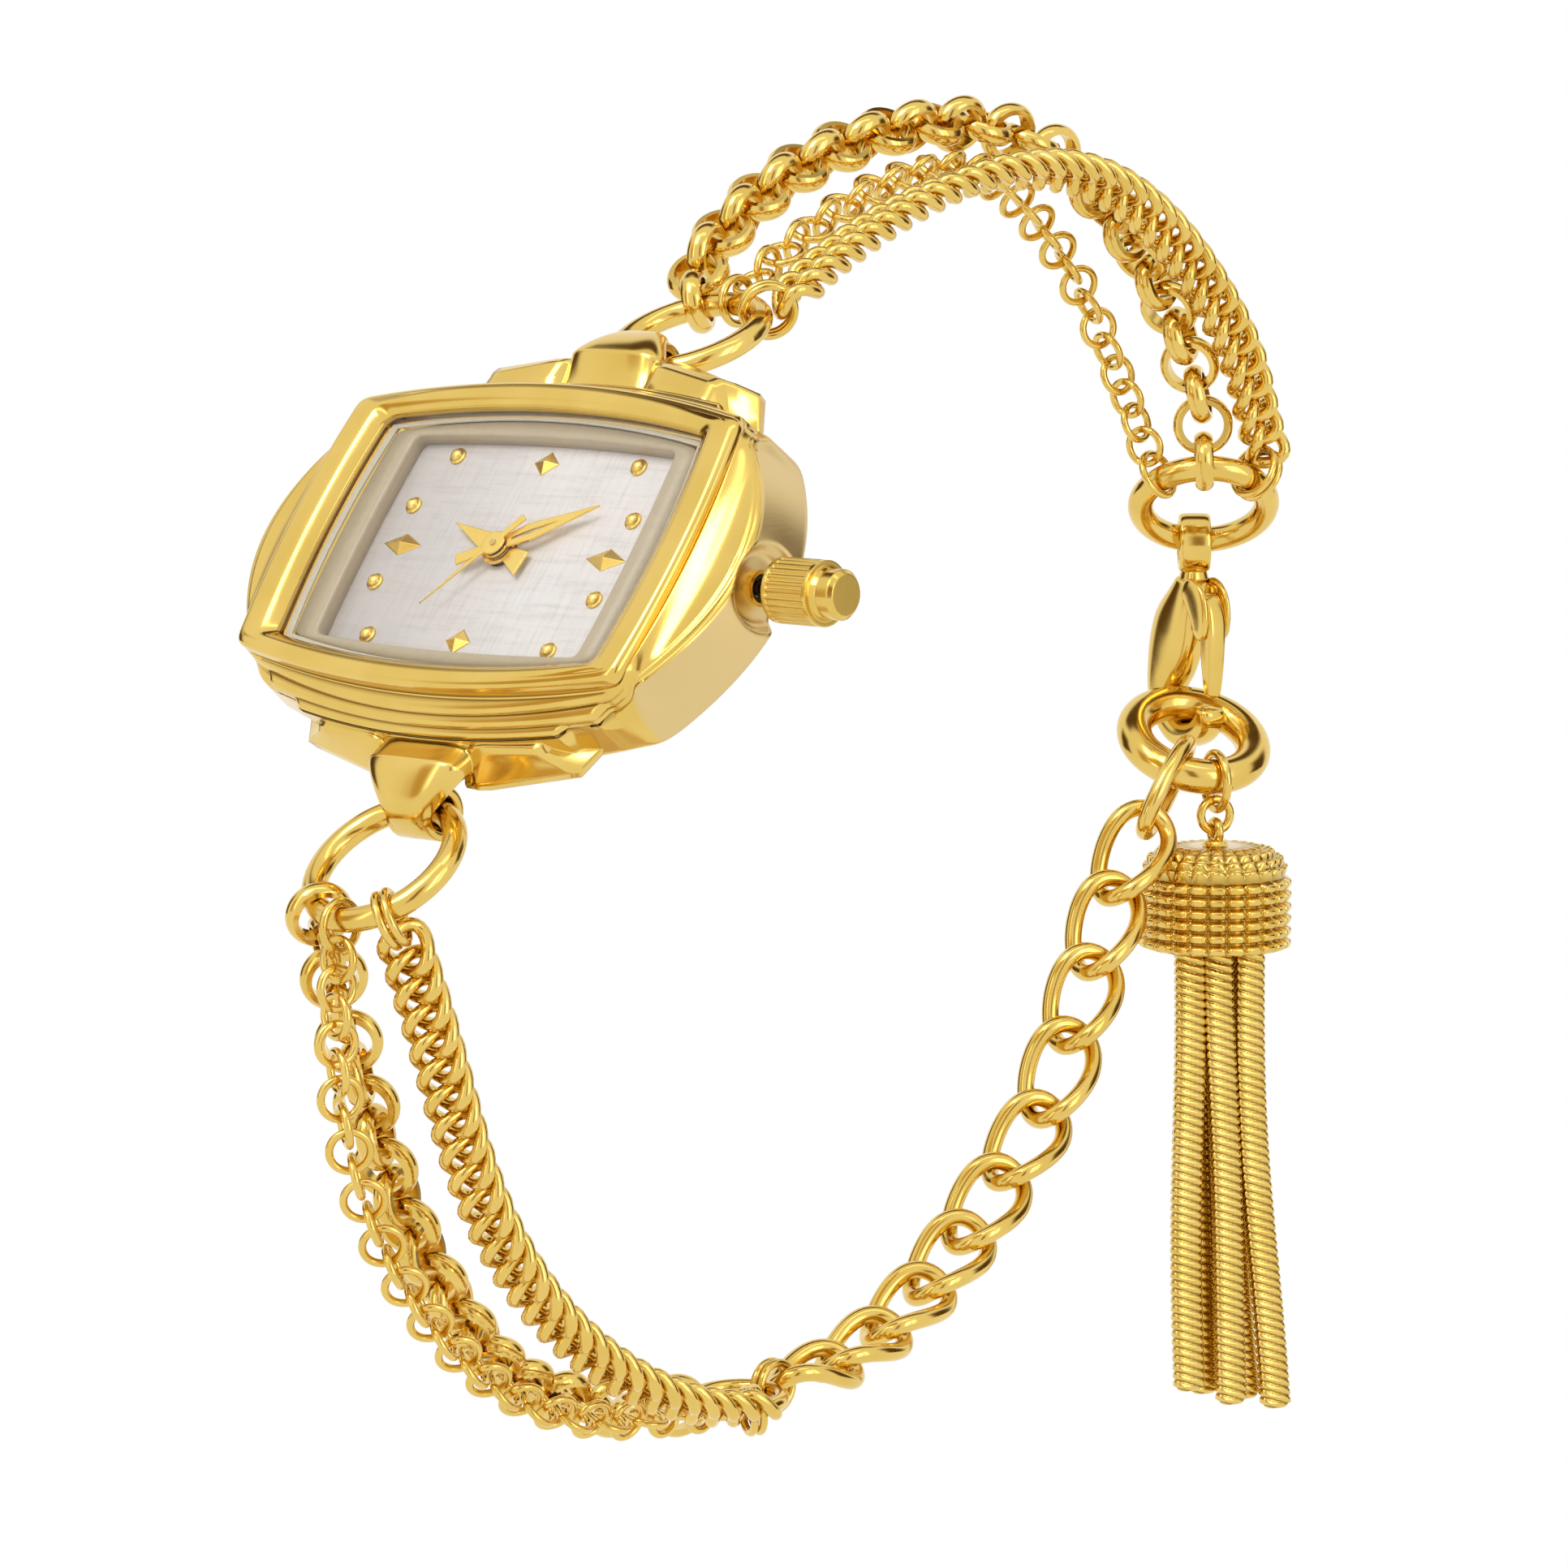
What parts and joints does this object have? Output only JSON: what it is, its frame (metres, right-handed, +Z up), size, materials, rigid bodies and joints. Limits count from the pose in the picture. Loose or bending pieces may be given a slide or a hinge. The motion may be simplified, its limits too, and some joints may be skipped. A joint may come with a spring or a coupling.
{
  "type": "wristwatch",
  "caption": "Rectangular bracelet watch with a bowed case, mother-of-pearl dial, triple chain strap, lobster clasp and hanging tassel.",
  "frame": {"origin": "middle of the case back's outer face", "axes": "+X from the case towards the crown at 3 o'clock, +Z up as the watch hangs with its tassel down, so the dial faces -Y and leans back 37.5 degrees"},
  "size_m": [0.0354, 0.0716, 0.0711],
  "materials": {
    "polished_gold": "polished",
    "satin_gold": "satin",
    "pale_gold": "satin",
    "crystal_glass": "polished",
    "dial_shell": "pearly",
    "black_rubber": "matte",
    "white_plastic": "matte",
    "green_board": "matte",
    "copper_wire": "satin",
    "plain_brass": "satin",
    "bare_steel": "satin"
  },
  "bodies": {
    "case": {"case_middle": "satin_gold", "bezel": "polished_gold", "crystal": "crystal_glass", "crystal_gasket": "black_rubber", "inner_ring": "pale_gold", "dial": "dial_shell", "hour_diamonds": "polished_gold", "hour_dots": "polished_gold", "case_back": "satin_gold", "case_back_gasket": "black_rubber", "movement_holder": "white_plastic", "main_plate": "plain_brass", "battery": "bare_steel", "battery_contact": "plain_brass", "circuit_board": "green_board", "quartz_can": "bare_steel", "coil": "copper_wire", "stator": "bare_steel", "crown_tube": "bare_steel"},
    "minute": {"minute_hand": "polished_gold", "cannon_pinion": "plain_brass"},
    "hour": {"hour_hand": "polished_gold", "hour_wheel": "plain_brass"},
    "minute_gear": {"minute_wheel": "plain_brass"},
    "setting_gear": {"setting_wheel": "plain_brass"},
    "stem_pinion": {"sliding_pinion": "bare_steel"},
    "second": {"second_hand": "polished_gold", "seconds_wheel": "plain_brass"},
    "step_gear": {"step_wheel": "plain_brass"},
    "magnet": {"rotor": "bare_steel"},
    "stem_seal": {"crown_gasket": "black_rubber"},
    "crown_stem": {"crown": "polished_gold", "winding_stem": "bare_steel"},
    "bracelet_front": {"lug_ring_12": "polished_gold", "tie_rings_12": "polished_gold", "belcher_chain_12": "polished_gold", "cable_chain_12": "polished_gold", "curb_chain_12": "polished_gold", "far_ring": "polished_gold", "clasp_body": "polished_gold", "clasp_pin": "polished_gold", "clasp_spring": "bare_steel", "end_ring": "polished_gold"},
    "lever": {"clasp_lever": "polished_gold"},
    "extension_a": {"extension_upper": "polished_gold"},
    "bracelet_rear": {"extension_lower": "polished_gold", "joining_ring": "polished_gold", "tie_rings_6": "polished_gold", "belcher_chain_6": "polished_gold", "cable_chain_6": "polished_gold", "curb_chain_6": "polished_gold", "lug_ring_6": "polished_gold"},
    "tassel_link": {"tassel_ring_upper": "polished_gold"},
    "tassel": {"tassel_ring_lower": "polished_gold", "tassel_cap": "polished_gold", "tassel_core": "plain_brass", "tassel_strands": "polished_gold"}
  },
  "joints": [
    {"name": "minute_turn", "type": "hinge", "parent": "case", "child": "minute", "pos_m": [0, -0.00159, 0.00122], "axis": [0, 0.7934, -0.6088], "continuous": true},
    {"name": "hour_turn", "type": "hinge", "parent": "case", "child": "hour", "pos_m": [0, -0.00159, 0.00122], "axis": [0, 0.7934, -0.6088], "continuous": true},
    {"name": "minute_wheel_turn", "type": "hinge", "parent": "case", "child": "minute_gear", "pos_m": [0.0024, -0.00159, 0.00122], "axis": [0, 0.7934, -0.6088], "continuous": true},
    {"name": "setting_wheel_turn", "type": "hinge", "parent": "case", "child": "setting_gear", "pos_m": [0.0051, -0.00159, 0.00122], "axis": [0, 0.7934, -0.6088], "continuous": true},
    {"name": "sliding_pinion_turn", "type": "hinge", "parent": "case", "child": "stem_pinion", "pos_m": [0.00616, -0.00147, 0.00113], "axis": [1, 0, 0], "continuous": true},
    {"name": "second_turn", "type": "hinge", "parent": "case", "child": "second", "pos_m": [0, -0.00159, 0.00122], "axis": [0, 0.7934, -0.6088], "continuous": true},
    {"name": "step_wheel_turn", "type": "hinge", "parent": "case", "child": "step_gear", "pos_m": [0.00074, -0.00298, -0.00059], "axis": [0, 0.7934, -0.6088], "continuous": true},
    {"name": "rotor_turn", "type": "hinge", "parent": "case", "child": "magnet", "pos_m": [0.00234, -0.00329, -0.00101], "axis": [0, 0.7934, -0.6088], "continuous": true},
    {"name": "crown_pull", "type": "slide", "parent": "case", "child": "stem_seal", "axis": [1, 0, 0], "range_m": [-0.0012, 0]},
    {"name": "crown_turn", "type": "hinge", "parent": "stem_seal", "child": "crown_stem", "pos_m": [0.015, -0.00147, 0.00113], "axis": [1, 0, 0], "continuous": true},
    {"name": "front_lift", "type": "hinge", "parent": "case", "child": "bracelet_front", "pos_m": [0, 0.00723, 0.01008], "axis": [1, 0, 0], "range_deg": [0, 12]},
    {"name": "extension_swing", "type": "hinge", "parent": "bracelet_front", "child": "extension_a", "pos_m": [-0.00065, 0.0499, -0.01316], "axis": [1, 0, 0], "range_deg": [-12, 0]},
    {"name": "rear_swing", "type": "hinge", "parent": "extension_a", "child": "bracelet_rear", "pos_m": [0, 0.0348, -0.03284], "axis": [1, 0, 0], "range_deg": [0, 12]},
    {"name": "lever_open", "type": "hinge", "parent": "bracelet_front", "child": "lever", "pos_m": [-0.00222, 0.05452, -0.00474], "axis": [0.2419, 0.9703, 0], "range_deg": [0, 8], "stiffness_Nm_per_rad": 0.002, "springref_deg": -11.46, "deforming": ["clasp_spring"]},
    {"name": "link_swing", "type": "hinge", "parent": "bracelet_front", "child": "tassel_link", "pos_m": [0.00093, 0.05145, -0.01352], "axis": [0.4738, 0.8805, 0.018], "range_deg": [0, 10]},
    {"name": "tassel_swing", "type": "hinge", "parent": "tassel_link", "child": "tassel", "pos_m": [0.00093, 0.05145, -0.01526], "axis": [0.8806, -0.4739, 0], "range_deg": [0, 10]}
  ],
  "couplings": [
    {"joint": "hour_turn", "follows": "minute_turn", "ratio": 0.083333},
    {"joint": "minute_wheel_turn", "follows": "minute_turn", "ratio": -0.33333},
    {"joint": "setting_wheel_turn", "follows": "minute_turn", "ratio": 0.66667},
    {"joint": "sliding_pinion_turn", "follows": "minute_turn", "ratio": 1},
    {"joint": "crown_turn", "follows": "minute_turn", "ratio": 1},
    {"joint": "step_wheel_turn", "follows": "second_turn", "ratio": -5},
    {"joint": "rotor_turn", "follows": "second_turn", "ratio": 30},
    {"joint": "extension_swing", "follows": "front_lift", "ratio": -1},
    {"joint": "rear_swing", "follows": "front_lift", "ratio": 1}
  ]
}
